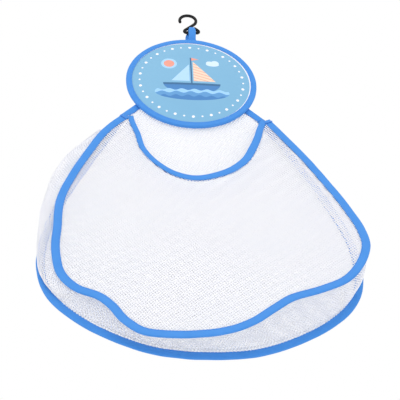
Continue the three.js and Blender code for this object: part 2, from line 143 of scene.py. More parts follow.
GUSSET_WIDTH_SHARES = [0.3, 0.85, 1, 1, 0.95, 0.9, 0.9, 0.9, 0.95, 1, 1, 0.75, 0.3]
# The net of the strip bulges out over the rear tape further down each side than the plain strip does
LEAN_SHARES = [0.6, 1.3, 0.66, 0.52, -0.2, -0.7, -0.8, -0.8, -0.2, 0.45, 0.0, -0.5, -0.5]


# Lines and edges

X_WAY, Y_WAY, Z_WAY = np.eye(3)


def unit(vector):
    return vector / np.linalg.norm(vector)


def ripple(x, z, size, seed=0.0):
    """A smooth random number from -1 to 1 that changes over the given size."""
    return noise.noise(Vector((x / size, seed, z / size)))


def rounded_taper(distance, reach):
    """0 at an edge, 1 from one reach inside it."""
    share = np.clip(distance / reach, 0, 1)
    return share * share * (3 - 2 * share)


def curve_through(points):
    """A centripetal Catmull-Rom curve: a function from a share of its places to the point there."""
    knots = np.array(points, float)
    line = np.vstack([2 * knots[0] - knots[1], knots, 2 * knots[-1] - knots[-2]])
    roots = np.sqrt(np.linalg.norm(np.diff(line, axis=0), axis=1))
    spans = len(knots) - 1

    def at(share):
        low = min(int(share * spans), spans - 1)
        t = share * spans - low
        p0, p1, p2, p3 = line[low : low + 4]
        d0, d1, d2 = roots[low : low + 3]
        start = d1 * ((p1 - p0) / d0 - (p2 - p0) / (d0 + d1) + (p2 - p1) / d1)
        end = d1 * ((p2 - p1) / d1 - (p3 - p1) / (d1 + d2) + (p3 - p2) / d2)
        bend = 3 * (p2 - p1) - 2 * start - end
        rest = 2 * (p1 - p2) + start + end
        return p1 + t * (start + t * (bend + t * rest))

    return at


def even_shares(at, steps):
    """The shares of a curve that lie at even lengths along it."""
    dense = np.linspace(0, 1, 1501)
    reached = lengths_along(np.array([at(share) for share in dense]))
    return np.interp(np.linspace(0, reached[-1], steps + 1), reached, dense)


def lengths_along(points):
    """The length from the first point to each point of a line."""
    return np.r_[0, np.cumsum(np.linalg.norm(np.diff(points, axis=0), axis=1))]


def rear_point(x, z):
    return np.array([x, REAR_PLANE, z])


def front_point(x, z):
    down = (SHOULDER_Z - z) / BAG_HEIGHT
    depth = FRONT_GAP + down * (FRONT_DEPTH + FRONT_TWIST * x / BAG_HALF_WIDTH)
    return np.array([x, REAR_PLANE - depth, z])


def rear_across(x, z):
    return np.array([0.0, 1.0, 0.0])


def front_across(x, z):
    down = (SHOULDER_Z - z) / BAG_HEIGHT
    slope_x = -down * FRONT_TWIST / BAG_HALF_WIDTH
    slope_z = (FRONT_DEPTH + FRONT_TWIST * x / BAG_HALF_WIDTH) / BAG_HEIGHT
    return unit(np.array([-slope_x, 1.0, -slope_z]))


def edge(at, shares, lift, across_at, out_sign=1):
    """An edge as three arrays: its points, the way out of the cloth there and the way across it."""
    rows = []
    for share in shares:
        x, z = at(share)
        before, after = at(max(share - 1e-4, 0)), at(min(share + 1e-4, 1))
        along = unit(lift(*after) - lift(*before))
        out = unit(np.cross(across_at(x, z), along)) * out_sign
        rows.append((lift(x, z), out, unit(np.cross(along, out))))
    return [np.array(column) for column in zip(*rows)]


def offset(stations, out, across=0.0):
    """The points of an edge, moved out and across."""
    return stations[0] + stations[1] * out + stations[2] * across


def bag_points(shares):
    return [(x * BAG_HALF_WIDTH, SHOULDER_Z - down * BAG_HEIGHT) for x, down in shares]


def straight_edge(start, end, steps, out_start, out_end):
    """A straight edge whose ends may be cut on the slant, which the ways out there give."""
    shares = np.linspace(0, 1, steps + 1)[:, None]
    along = unit(end - start)
    out = unit(np.cross(rear_across(0, 0), along))
    slants = [way / way.dot(out) - out for way in (out_start, out_end)]
    # Only the first and last tenth lean into the cut
    lean_in = np.clip(1 - shares * 10, 0, 1) * slants[0]
    lean_out = np.clip(shares * 10 - 9, 0, 1) * slants[1]
    points = start + shares * (end - start)
    across = np.tile(rear_across(0, 0), (steps + 1, 1))
    return [points, out + lean_in + lean_out, across]


rear_at = curve_through(
    bag_points([(-x, down) for x, down in REAR_HALF] + REAR_HALF[-2::-1])
)
front_at = curve_through(bag_points(FRONT))
front_ends = [front_at(0)[0], front_at(1)[0]]
mouth_points = [
    (
        front_ends[0] + MOUTH_INSET + x * (front_ends[1] - front_ends[0] - 2 * MOUTH_INSET),
        SHOULDER_Z - down * MOUTH_DEPTH,
    )
    for x, down in MOUTH
]
# The mouth's tape runs on under the hoop's tape at both shoulders
mouth_at = curve_through([MOUTH_TAPE_ENDS[0], *mouth_points, MOUTH_TAPE_ENDS[1]])

# Matching places on the two hoops: even shares of the front curve, and the rear one at like lengths
coarse = np.linspace(0, 1, HOOP_STEPS + 1)
coarse_lengths = lengths_along(np.array([front_at(share) for share in coarse]))
fine = np.linspace(0, 1, HOOP_STEPS * FINE + 1)
FINE_STEPS = np.arange(len(fine))
rear_dense = even_shares(rear_at, 2000)
rear_fine = np.interp(
    np.interp(fine, coarse, coarse_lengths / coarse_lengths[-1]),
    np.linspace(0, 1, len(rear_dense)),
    rear_dense,
)
rear_match = edge(rear_at, rear_fine, rear_point, rear_across)
front_match = edge(front_at, fine, front_point, front_across)

rear_hoop = edge(rear_at, even_shares(rear_at, 520), rear_point, rear_across)
front_hoop = edge(front_at, even_shares(front_at, 520), front_point, front_across)
mouth_edge = edge(mouth_at, even_shares(mouth_at, 160), front_point, front_across, -1)


def neck_edge(side, steps):
    """The neck's slanting edge, from the seam tape down to the shoulder, or back up on the right."""
    shoulder = [part[0 if side < 0 else -1] for part in rear_hoop]
    top = rear_point(side * NECK_HALF_WIDTH, SEAM_BOTTOM_Z - SEAM_GAP)
    along = unit(shoulder[0] - top)
    hoop_way = np.cross(shoulder[1], rear_across(0, 0))
    bottom = shoulder[0] - along * SEAM_GAP / abs(hoop_way.dot(along))
    level = np.array([side, 0.0, 0.0])
    if side < 0:
        return straight_edge(top, bottom, steps, level, shoulder[1])
    return straight_edge(bottom, top, steps, shoulder[1], level)


neck_edges = {side: neck_edge(side, 24) for side in (-1, 1)}


# Pieces


def finish_mesh(bm, name, body, node=None, slot=None, finish=None):
    """Turns a bmesh in millimetres into a piece in metres that rides on a CAD body."""
    bmesh.ops.scale(bm, vec=(MM,) * 3, verts=bm.verts)
    mesh = bpy.data.meshes.new(name)
    for face in bm.faces:
        face.smooth = True
    bm.to_mesh(mesh)
    bm.free()
    piece = bpy.data.objects.new(name, mesh)
    bpy.context.scene.collection.objects.link(piece)
    if isinstance(body, str):
        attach(piece, body)
    if node:
        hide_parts(node)
    if finish:
        mesh.materials.append(finish)
    return piece


def grid_from(places, size):
    """A grid of cloth on the given places, with a UV map in metres of cloth along and across."""
    columns, rows = places.shape[0] - 1, places.shape[1] - 1
    bm = bmesh.new()
    uv = bm.loops.layers.uv.new("cloth")
    bmesh.ops.create_grid(bm, x_segments=columns, y_segments=rows, size=0.5)
    for face in bm.faces:
        for loop in face.loops:
            x, y = loop.vert.co.xy
            loop[uv].uv = ((x + 0.5) * size[0] * MM, (y + 0.5) * size[1] * MM)
    for vert in bm.verts:
        column, row = round((vert.co.x + 0.5) * columns), round((vert.co.y + 0.5) * rows)
        vert.co = places[column, row]
    return bm


def cap_ends(bm):
    """Closes the open ends of a swept section, each with a face of its own."""
    open_edges = [e for e in bm.edges if e.is_boundary]
    bmesh.ops.edgeloop_fill(bm, edges=open_edges)


def swept(section, stations, ring=False):
    """Carries a closed section, points of (out, across), along stations. A ring's ends meet."""
    loop = np.vstack([section, section[:1]])
    points, outs, acrosses = stations
    places = (
        points[:, None]
        + outs[:, None] * loop[None, :, :1]
        + acrosses[:, None] * loop[None, :, 1:]
    )
    bm = grid_from(places, (lengths_along(points)[-1], lengths_along(loop)[-1]))
    bmesh.ops.remove_doubles(bm, verts=bm.verts, dist=MERGE)
    if not ring:
        cap_ends(bm)
    bmesh.ops.recalc_face_normals(bm, faces=bm.faces)
    return bm


def fold_section(width, half_lip, half_fold, corner):
    """Tape folded round an edge: (out, across) pairs round the outer skin and back by the inner one.
    A sewn groove runs along the lip, and the cloth swells a little between it and the fold."""
    lip = -width / 2
    outer = [
        (lip + 0.05, half_lip - 0.28), (lip + 0.2, half_lip - 0.08), (lip + 0.55, half_lip + 0.02),
        (lip + 1.0, half_lip - 0.05), (lip + GROOVE, half_lip - GROOVE_DEPTH),
        (lip + 1.8, half_lip - 0.05), (lip + 2.6, half_lip + 0.06),
        (lip + 3.6, (half_lip + half_fold) / 2 + 0.05), (width / 2 - corner, half_fold),
    ]
    turn = [(math.sin(a), math.cos(a)) for a in np.radians([22, 45, 67, 90])]
    arc = [(width / 2 - corner + corner * s, half_fold - corner + corner * c) for s, c in turn]
    skin = [(lip + 0.05, half_lip - TAPE + 0.1), (width / 2 - corner, half_fold - TAPE)]
    inner_radius = max(corner - TAPE, 0.2)
    middle = half_fold - TAPE - inner_radius
    bend = [(width / 2 - TAPE - inner_radius * (1 - s), middle + inner_radius * c) for s, c in turn]
    upper = outer + arc
    within = bend[::-1] + skin[::-1]
    loop = [(o, -a) for o, a in upper] + upper[::-1] + within[::-1] + [(o, -a) for o, a in within]
    return np.array(drop_repeats(loop))


def drop_repeats(points):
    kept = []
    for point in points:
        if not kept or math.dist(point, kept[-1]) > 1e-3:
            kept.append(point)
    return kept


def hand_sewn(stations, amount, seed):
    """The same edge, with the slight waver that a tape has when it is sewn round a curve."""
    points, outs, acrosses = stations
    run = lengths_along(points)
    waver = amount * np.array([[ripple(s, 0, 22, seed), 0.6 * ripple(s, 9, 15, seed)] for s in run])
    return [points + outs * waver[:, :1] + acrosses * waver[:, 1:], outs, acrosses]


def stitch_row(bm, line, normals, lift):
    """Stitches along a line, each a small pressed length of thread that dips in at both ends."""
    run = lengths_along(line)
    count = max(int(run[-1] / STITCH_PITCH), 1)
    for i in range(count):
        place = (i + 0.5) * run[-1] / count
        point = np.array([np.interp(place, run, line[:, k]) for k in range(3)])
        normal = unit(np.array([np.interp(place, run, normals[:, k]) for k in range(3)]))
        ahead = np.array([np.interp(min(place + 0.5, run[-1]), run, line[:, k]) for k in range(3)])
        behind = np.array([np.interp(max(place - 0.5, 0), run, line[:, k]) for k in range(3)])
        add_thread(bm, point + normal * lift, unit(ahead - behind), normal, STITCH_LENGTH)


def add_thread(bm, centre, along, normal, length, radius=THREAD_RADIUS):
    """One short thread: a stretched ball of few faces."""
    side = unit(np.cross(normal, along))
    basis = Matrix(np.column_stack([side, np.cross(along, side), along]).tolist()).to_4x4()
    stretch = Matrix.Diagonal((radius * 1.15, radius, length / 2, 1))
    place = Matrix.Translation(Vector(centre)) @ basis @ stretch
    bmesh.ops.create_uvsphere(bm, u_segments=6, v_segments=4, radius=1, matrix=place)


def bar_tack(name, body, centre, across_bar, along_bar, normal, size, node):
    """A bar tack: threads sewn side by side over the bar's width, on two long ones."""
    length, height = size
    bm = bmesh.new()
    for side in (-0.25, 0.25):
        add_thread(bm, centre + across_bar * side * height, along_bar, normal, length)
    count = round(length / 0.5)
    for i in range(count):
        place = centre + along_bar * ((i + 0.5) / count - 0.5) * (length - 0.6)
        lean = unit(across_bar + along_bar * (0.12 if i % 2 else -0.12))
        add_thread(bm, place + normal * 0.12, lean, normal, height + 0.3, 0.26)
    finish_mesh(bm, name, body, node, "blue_thread", THREAD_FINISH)


# Finishes


def colour(hex_value):
    """An sRGB hex colour as the linear numbers that a shader takes."""
    parts = [int(hex_value[i : i + 2], 16) / 255 for i in (1, 3, 5)]
    linear = [c / 12.92 if c <= 0.04045 else ((c + 0.055) / 1.055) ** 2.4 for c in parts]
    return (*linear, 1.0)


def add_node(tree, kind, inputs, **settings):
    """Adds a node: settings are its own, and inputs are numbers or sockets for its sockets."""
    node = tree.nodes.new(kind)
    for name, value in settings.items():
        setattr(node, name, value)
    for socket, value in inputs.items():
        if isinstance(value, bpy.types.NodeSocket):
            tree.links.new(value, node.inputs[socket])
        else:
            node.inputs[socket].default_value = value
    return node


def calculate(tree, operation, *inputs):
    """One step of arithmetic on numbers and sockets."""
    inputs = dict(enumerate(inputs))
    return add_node(tree, "ShaderNodeMath", inputs, operation=operation).outputs[0]


def measure(tree, operation, *inputs):
    """A number worked out from vectors."""
    inputs = dict(enumerate(inputs))
    return add_node(tree, "ShaderNodeVectorMath", inputs, operation=operation).outputs["Value"]


def mix_colours(tree, factor, first, second):
    """A colour between two, each a hex colour, linear numbers or a socket."""
    first, second = [colour(end) if isinstance(end, str) else end for end in (first, second)]
    ends = {0: factor, 6: first, 7: second}
    return add_node(tree, "ShaderNodeMix", ends, data_type="RGBA").outputs[2]


class Finish:
    """A material in the making: its tree, its Principled shader and the places on the object."""

    def __init__(self, name, **sockets):
        self.material = bpy.data.materials.new(name)
        self.material.use_nodes = True
        self.tree = self.material.node_tree
        self.shader = self.tree.nodes["Principled BSDF"]
        for socket, value in sockets.items():
            self.shader.inputs[socket.replace("_", " ")].default_value = value
        places = add_node(self.tree, "ShaderNodeTexCoord", {})
        self.place, self.uv = places.outputs["Object"], places.outputs["UV"]

    def cloud(self, scale, detail):
        """Soft noise, its scale in steps to the metre."""
        inputs = {"Scale": scale, "Detail": detail, "Vector": self.place}
        return add_node(self.tree, "ShaderNodeTexNoise", inputs).outputs["Fac"]

    def bands(self, pitch, way, place=None, **inputs):
        """Waves whose crests lie a pitch of millimetres apart."""
        scale = math.pi / 10 / (pitch * MM)
        inputs = {"Scale": scale, "Vector": self.place if place is None else place, **inputs}
        return add_node(
            self.tree, "ShaderNodeTexWave", inputs, wave_type="BANDS", bands_direction=way
        ).outputs["Fac"]

    def tint(self, factor, first, second):
        tone = mix_colours(self.tree, factor, first, second)
        self.tree.links.new(tone, self.shader.inputs["Base Color"])

    def bump(self, height, strength, depth):
        """Relief, its depth in millimetres."""
        inputs = {"Strength": strength, "Distance": depth * MM, "Height": height}
        bump = add_node(self.tree, "ShaderNodeBump", inputs)
        self.tree.links.new(bump.outputs[0], self.shader.inputs["Normal"])

    def weave(self, pitch, depth):
        """The crossed threads of a plain weave on a cloth that faces along Y."""
        both = calculate(self.tree, "ADD", self.bands(pitch, "X"), self.bands(pitch, "Z"))
        self.bump(both, 0.4, depth)


def tape_finish():
    # Woven polyester binding tape: matt with a soft sheen. Its ribs lie 0.9 mm apart across its length,
    # about twice as coarse as real ones, so that they show. The hollows between them are painted a
    # deeper blue as painted shade.
    finish = Finish("woven_polyester_tape", Roughness=0.65, Sheen_Weight=0.06, Sheen_Roughness=0.4)
    ribs = finish.bands(0.9, "X", finish.uv)
    threads = finish.bands(0.55, "Y", finish.uv)
    weave = calculate(finish.tree, "MULTIPLY", ribs, threads)
    tone = mix_colours(finish.tree, finish.cloud(60, 3), "#378BDA", "#4495E4")
    # Painted shade: the low places of the weave are coloured a deeper blue
    hollow_shade = {"To Min": 0.25, "To Max": 0.0, "Value": weave}
    shade = add_node(finish.tree, "ShaderNodeMapRange", hollow_shade).outputs[0]
    finish.tint(shade, tone, "#337FD0")
    finish.bump(weave, 0.5, 0.1)
    return finish.material


def net_finish():
    # Warp-knitted polyester net: white with a cool cast, matt, its yarn of fine filaments. The
    # filaments lie 0.25 mm apart here, coarser than real ones, so that they show.
    finish = Finish("knitted_polyester_net", Roughness=0.7, Sheen_Weight=0.1, Sheen_Roughness=0.5)
    finish.tint(finish.cloud(18, 2), "#FAFCFF", "#FFFFFF")
    finish.bump(finish.bands(0.25, "DIAGONAL", Distortion=4, Detail=1), 0.2, 0.05)
    return finish.material


class Print(Finish):
    """A finish with a printed picture: shapes cut from flat areas, laid one over another.
    Places are millimetres from the head's centre, across and up."""

    def __init__(self, name, **sockets):
        super().__init__(name, **sockets)
        from_centre = {"Location": (0, 0, -HEAD_Z), "Scale": (1 / MM,) * 3, "Vector": self.place}
        self.spot = add_node(self.tree, "ShaderNodeMapping", from_centre).outputs[0]
        self.across, _, self.up = add_node(
            self.tree, "ShaderNodeSeparateXYZ", {0: self.spot}
        ).outputs
        self.shade = mix_colours(self.tree, self.cloud(14, 2), "#77B1D2", "#83BBD8")

    def oval(self, centre, radii):
        """1 inside an oval, else 0. A long radius along Y lets the cloth's crown not matter."""
        inputs = {
            "Location": (centre[0], 0, centre[1]), "Scale": (radii[0], 1e6, radii[1]),
            "Vector": self.spot,
        }
        moved = add_node(self.tree, "ShaderNodeMapping", inputs, vector_type="TEXTURE")
        size = measure(self.tree, "LENGTH", moved.outputs[0])
        return calculate(self.tree, "LESS_THAN", size, 1.0)

    def side(self, start, end):
        """1 on the left of the line from start to end, else 0."""
        normal = (start[1] - end[1], 0, end[0] - start[0])
        limit = normal[0] * start[0] + normal[2] * start[1]
        along = measure(self.tree, "DOT_PRODUCT", self.spot, normal)
        return calculate(self.tree, "GREATER_THAN", along, limit)

    def both(self, *areas):
        """Where all the areas are."""
        return self.joined("MINIMUM", areas)

    def either(self, *areas):
        """Where any of the areas is."""
        return self.joined("MAXIMUM", areas)

    def joined(self, operation, areas):
        whole = areas[0]
        for area in areas[1:]:
            whole = calculate(self.tree, operation, whole, area)
        return whole

    def outside(self, area):
        return calculate(self.tree, "SUBTRACT", 1.0, area)

    def polygon(self, *corners):
        """1 inside a polygon whose corners run anticlockwise."""
        return self.both(*[self.side(a, b) for a, b in zip(corners, corners[1:] + corners[:1])])

    def below_wave(self, height, rise, length, shift):
        """1 under a wavy line."""
        turn = calculate(self.tree, "MULTIPLY_ADD", self.across, 2 * math.pi / length, shift)
        crest = calculate(self.tree, "SINE", turn)
        line = calculate(self.tree, "MULTIPLY_ADD", crest, rise, height)
        return calculate(self.tree, "LESS_THAN", self.up, line)

    def stripes(self, way, pitch, share):
        """Thin lines square to a way, one pitch apart."""
        along = measure(self.tree, "DOT_PRODUCT", self.spot, way)
        turned = calculate(self.tree, "FLOORED_MODULO", along, pitch)
        return calculate(self.tree, "LESS_THAN", turned, pitch * share)

    def dot_ring(self, radius, count, sizes):
        """A ring of round dots, their sizes in turn."""
        tree = self.tree
        angle = calculate(tree, "ARCTAN2", self.up, self.across)
        flat = add_node(tree, "ShaderNodeCombineXYZ", {0: self.across, 2: self.up})
        inward = calculate(tree, "SUBTRACT", measure(tree, "LENGTH", flat.outputs[0]), radius)
        step = 2 * math.pi / count
        pitch = step * len(sizes)
        dots = []
        for i, size in enumerate(sizes):
            turned = calculate(tree, "ADD", angle, step * i)
            local = calculate(tree, "FLOORED_MODULO", turned, pitch)
            around = calculate(tree, "MULTIPLY_ADD", local, radius, -radius * pitch / 2)
            both = add_node(tree, "ShaderNodeCombineXYZ", {0: around, 1: inward})
            far = measure(tree, "LENGTH", both.outputs[0])
            dots.append(calculate(tree, "LESS_THAN", far, size))
        return self.either(*dots)

    def lay(self, area, hex_value):
        self.shade = mix_colours(self.tree, area, self.shade, hex_value)


def print_finish():
    # Printed polyester satin: smooth, a low sheen, and a fine plain weave drawn 0.8 mm apart so that it
    # shows. The picture is a small sailing boat on the sea, in the cloth's blues, salmon and peach.
    art = Print("printed_polyester_satin", Roughness=0.5, Sheen_Weight=0.1, Sheen_Roughness=0.4)
    art.lay(art.oval((-26, 29), (9.4, 9.4)), "#A9D8F7")
    art.lay(art.oval((-26, 29), (6.4, 6.4)), "#F2A08A")
    puffs = [((26, 30), (7.8, 3.6)), ((22.4, 32), (4.2, 3.6)), ((29, 32.6), (4.8, 4.4))]
    art.lay(art.either(*[art.oval(centre, radii) for centre, radii in puffs]), "#D8EEFB")
    art.lay(art.polygon((-0.9, -8), (0.9, -8), (0.9, 41), (-0.9, 41)), "#2F6A96")
    art.lay(art.polygon((0.9, 35.2), (9.6, 38.1), (0.9, 41)), "#F2A08A")
    main_sail = art.both(
        art.polygon((2.4, -2), (28.5, -2), (2.4, 33.5)), art.oval((-8.5, 0), (38, 40))
    )
    art.lay(main_sail, "#FBDCC0")
    art.lay(art.both(main_sail, art.stripes((0.35, 0, 0.94), 4.6, 0.22)), "#F2A08A")
    jib = art.both(art.polygon((-2.4, -2), (-2.4, 28), (-24, -2)), art.oval((5.5, -0.5), (30, 34)))
    art.lay(jib, "#B4DDFB")
    hull = art.both(art.oval((0, -5.5), (34, 19)), art.side((30, -5.5), (-30, -5.5)))
    art.lay(hull, "#3F82BF")
    art.lay(art.both(hull, art.side((-30, -9), (30, -9))), "#2F6A96")
    sea = art.oval((0, -21), (44, 14))
    waves = [(-17, 1.3, 15, 0.4), (-21.5, 1.5, 17, 2.2), (-27.5, 1.5, 14, 4.0)]
    for wave, hex_value in zip(waves, ("#9FD3FA", "#5B9BD0", "#3F82BF")):
        art.lay(art.both(sea, art.below_wave(*wave)), hex_value)
    art.lay(art.dot_ring(61.5, 36, (1.75, 1.15)), "#FFFFFF")
    # The print stops short of the binding at the upper right, where a line of bare white cloth shows
    art.lay(art.outside(art.oval((-0.9, -0.7), (70.1, 70.1))), "#FBFCFF")
    art.tree.links.new(art.shade, art.shader.inputs["Base Color"])
    art.weave(0.8, 0.06)
    return art.material


def lining_finish():
    # Plain woven polyester lining: pale blue, matt, a plain weave drawn 0.9 mm apart so that it shows
    finish = Finish("woven_polyester_lining", Roughness=0.7, Sheen_Weight=0.1)
    finish.tint(finish.cloud(20, 3), "#94C6E8", "#A3D1EF")
    finish.weave(0.9, 0.08)
    return finish.material


def foam_finish():
    # Cut polyurethane foam: off-white and open-celled, cells 0.7 mm across
    finish = Finish("polyurethane_foam", Roughness=0.95)
    inputs = {"Scale": 1 / (0.7 * MM), "Vector": finish.place}
    cells = add_node(finish.tree, "ShaderNodeTexVoronoi", inputs).outputs["Distance"]
    finish.tint(cells, "#DEDED8", "#F4F4F0")
    finish.bump(cells, 0.5, 0.2)
    return finish.material


def thread_finish():
    # Spun polyester thread: blue, matt, its twist 0.3 mm apart
    finish = Finish("spun_polyester_thread", Roughness=0.65, Sheen_Weight=0.2)
    twist = finish.bands(0.3, "DIAGONAL")
    finish.tint(twist, "#377DD0", "#4E9BF0")
    finish.bump(twist, 0.4, 0.05)
    return finish.material


def hook_finish():
    # Powder-coated steel wire: a black coat with a satin gloss and a faint orange peel 1.2 mm across
    finish = Finish("black_powder_coat", Roughness=0.5, IOR=1.35)
    peel = finish.cloud(1 / (1.2 * MM), 2)
    finish.tint(peel, "#040406", "#0B0B0D")
    finish.bump(peel, 0.25, 0.1)
    return finish.material


def spring_finish():
    # Drawn spring steel: bright grey, with fine marks along the wire
    finish = Finish("drawn_spring_steel", Metallic=1.0, Roughness=0.35)
    finish.tint(finish.cloud(900, 2), "#8F959B", "#ABB1B7")
    return finish.material


def bead_finish():
    # Moulded nylon: milky white with a soft gloss
    finish = Finish("moulded_nylon", Roughness=0.45, IOR=1.53)
    finish.tint(finish.cloud(700, 1), "#E2E5E9", "#EEF0F3")
    return finish.material


TAPE_FINISH = tape_finish()
NET_FINISH = net_finish()
PRINT_FINISH = print_finish()
LINING_FINISH = lining_finish()
FOAM_FINISH = foam_finish()
THREAD_FINISH = thread_finish()
HOOK_FINISH = hook_finish()
SPRING_FINISH = spring_finish()
BEAD_FINISH = bead_finish()


# Hook: one bent wire with rounded ends


def arc(centre_x, centre_z, radius, start, end, count):
    turn = np.radians(np.linspace(start, end, count + 1))
    return [(centre_x + radius * math.cos(a), centre_z + radius * math.sin(a)) for a in turn]


RING_Z = -(HOOK_RADIUS - HOOK_WIRE_RADIUS)
BAR_Z = RING_Z - HOOK_BASE_DROP
CORNER_Z = BAR_Z + HOOK_CORNER_RADIUS
LEFT_CORNER_X = CORNER_Z - RING_Z + math.sqrt(2) * (HOOK_RADIUS + HOOK_CORNER_RADIUS)
RIGHT_CORNER_X = LEFT_CORNER_X + HOOK_BAR_LENGTH
BAR_CENTRE_X = (LEFT_CORNER_X + RIGHT_CORNER_X) / 2


def make_hook():
    ring = arc(0, RING_Z, HOOK_RADIUS, 205, -45, 13)
    left = arc(LEFT_CORNER_X, CORNER_Z, HOOK_CORNER_RADIUS, 135, 270, 6)
    right = arc(RIGHT_CORNER_X, CORNER_Z, HOOK_CORNER_RADIUS, -90, 45, 6)
    x, z = right[-1]
    stem_distance = (x - z + RING_Z - math.sqrt(2) * HOOK_RADIUS) / math.sqrt(2)
    tail = (stem_distance - 2 * HOOK_WIRE_RADIUS - HOOK_TAIL_GAP) / math.sqrt(2)
    at = curve_through([*ring, *left, *right, (x - tail, z + tail)])
    flat = np.array([at(share) for share in even_shares(at, 220)])
    ways = np.array([unit(way) for way in np.gradient(flat, axis=0)])
    # Each end rounds off over one radius
    run = lengths_along(flat)
    from_end = np.minimum(run, run[-1] - run) / HOOK_WIRE_RADIUS
    sizes = np.sqrt(np.clip(1 - np.clip(1 - from_end, 0, 1) ** 2, 0.0004, 1))
    points = np.column_stack([flat[:, 0], np.zeros(len(flat)), flat[:, 1]])
    outs = np.column_stack([-ways[:, 1], np.zeros(len(flat)), ways[:, 0]]) * sizes[:, None]
    acrosses = np.tile([0.0, 1.0, 0.0], (len(flat), 1)) * sizes[:, None]
    turn = np.radians(np.arange(0, 360, 20))
    section = (HOOK_WIRE_RADIUS + HOOK_COAT) * np.column_stack([np.cos(turn), np.sin(turn)])
    bm = swept(section, [points, outs, acrosses])
    finish_mesh(bm, "hook_wire", "hook", "hook", "black_wire", HOOK_FINISH)


make_hook()


# Ribbon loop, folded over the hook's bar


def make_ribbon():
    """The ribbon bulges forward over the bar and its strands part. It is gathered there, to fit between
    the hook's slanting wires at every swing."""
    at = curve_through(
        [
            (3.9, 0.6, -63), (3.9, 0.6, -54), (3.9, 0.5, -49), (4.0, -0.8, -45), (4.1, -4.0, -37.5),
            (4.0, -5.6, -31.4), (3.95, -5.7, -28.8), (3.95, -5.1, -26.6), (3.95, -3.7, -25.2),
            (3.95, -1.7, -24.7), (3.9, 0.3, -25.1), (3.7, 2.1, -26.9), (2.8, 2.8, -30.5),
            (1.0, 2.6, -36), (0.7, 1.9, -43), (2.3, 1.4, -48.5), (3.9, 1.4, -54), (3.9, 1.4, -63),
        ]
    )
    points = np.array([at(share) for share in even_shares(at, 150)])
    ways = np.array([unit(way) for way in np.gradient(points, axis=0)])
    reach = np.hypot(points[:, 1], points[:, 2] - BAR_Z)
    room = RIBBON_ROOM - reach + np.clip(BAR_Z - points[:, 2], 0, 20) * RIBBON_FLARE
    half_widths = RIBBON_HALF - 0.6 * rounded_taper(points[:, 2] + 50, 8)
    widths = np.minimum(room, half_widths) / RIBBON_HALF
    sides = np.array([unit(X_WAY - way * way[0]) for way in ways])
    faces = np.cross(sides, ways)
    half = [
        (-5, 0.12), (-4.9, 0.34), (-4.5, 0.38), (-4.1, 0.3), (-2, 0.3), (0, 0.3), (2, 0.3),
        (4.1, 0.3), (4.5, 0.38), (4.9, 0.34), (5, 0.12),
    ]
    section = np.array(half + [(o, -a) for o, a in reversed(half)])
    bm = swept(section, [points, sides * widths[:, None], faces])
    piece = finish_mesh(bm, "ribbon_loop", None, "hanging_loop", "blue_tape", TAPE_FINISH)
    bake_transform(piece)


make_ribbon()
bar_tack(
    "ribbon_tack", "head", np.array([BAR_CENTRE_X, 2.25, -56.0]), Z_WAY, X_WAY, Y_WAY,
    (2 * RIBBON_HALF, TACK_HEIGHT), "loop_tack",
)


# Head: printed front, foam and lining, bound with tape


def crown_at(radius):
    share = min(radius / (HEAD_RADIUS - HEAD_BAND_WIDTH), 1)
    return HEAD_CROWN * (1 - share * share) ** 2


def spun_skin(profile, steps):
    """Turns a profile of (radius, y) round the head's axis."""
    bm = bmesh.new()
    verts = [bm.verts.new((radius, y, HEAD_Z)) for radius, y in profile]
    edges = [bm.edges.new(pair) for pair in zip(verts, verts[1:])]
    bmesh.ops.spin(
        bm, geom=verts + edges, cent=(0, 0, HEAD_Z), axis=(0, 1, 0), angle=2 * math.pi,
        steps=steps, use_merge=True,
    )
    bmesh.ops.remove_doubles(bm, verts=bm.verts, dist=MERGE)
    bmesh.ops.recalc_face_normals(bm, faces=bm.faces)
    bm.verts.index_update()
    return bm


def disc_profile(back, front, crowned, radius, rings):
    """The section of a thin disc with a rounded rim, from the axis at the back to it in front."""
    half = (back - front) / 2
    middle = (back + front) / 2
    turn = np.radians([60, 30, 0, -30, -60])
    rim = [(radius - half * (1 - math.cos(a)), middle + half * math.sin(a)) for a in turn]
    radii = np.linspace(0, radius - half, rings)
    rear = [(r, back) for r in radii]
    face = [(r, front - (crown_at(r) if crowned else 0)) for r in radii]
    return rear + rim + face[::-1]


def padded_front(radius):
    """The front cloth's outer skin: held round its rim and blown out a little over the foam."""
    bm = spun_skin([(r, HEAD_FACE_Y) for r in np.linspace(0, radius, 44)], 150)
    reach = [math.hypot(v.co.x, v.co.z - HEAD_Z) for v in bm.verts]
    rim = [i for i, length in enumerate(reach) if length > HEAD_RADIUS - HEAD_BAND_WIDTH]
    skin = finish_mesh(bm, "head_skin", None)
    skin.vertex_groups.new(name="rim").add(rim, 1.0, "REPLACE")
    cloth = skin.modifiers.new("cloth", "CLOTH")
    satin = {
        "quality": 8, "mass": 0.25, "tension_stiffness": 20, "compression_stiffness": 20,
        "bending_stiffness": 0.3, "vertex_group_mass": "rim", "shrink_min": -0.002,
        "use_pressure": True, "uniform_pressure_force": 4,
    }
    for name, value in satin.items():
        setattr(cloth.settings, name, value)
    cloth.settings.effector_weights.gravity = 0
    cloth.point_cache.frame_start = 1
    cloth.point_cache.frame_end = SWELL_STEPS
    scene = bpy.context.scene
    for step in range(1, SWELL_STEPS + 1):
        scene.frame_set(step)
    rested = skin.evaluated_get(bpy.context.evaluated_depsgraph_get()).to_mesh()
    bm = bmesh.new()
    bm.from_mesh(rested)
    bmesh.ops.scale(bm, vec=(1 / MM,) * 3, verts=bm.verts)
    skin.to_mesh_clear()
    bpy.data.objects.remove(skin)
    scene.frame_set(1)
    return bm


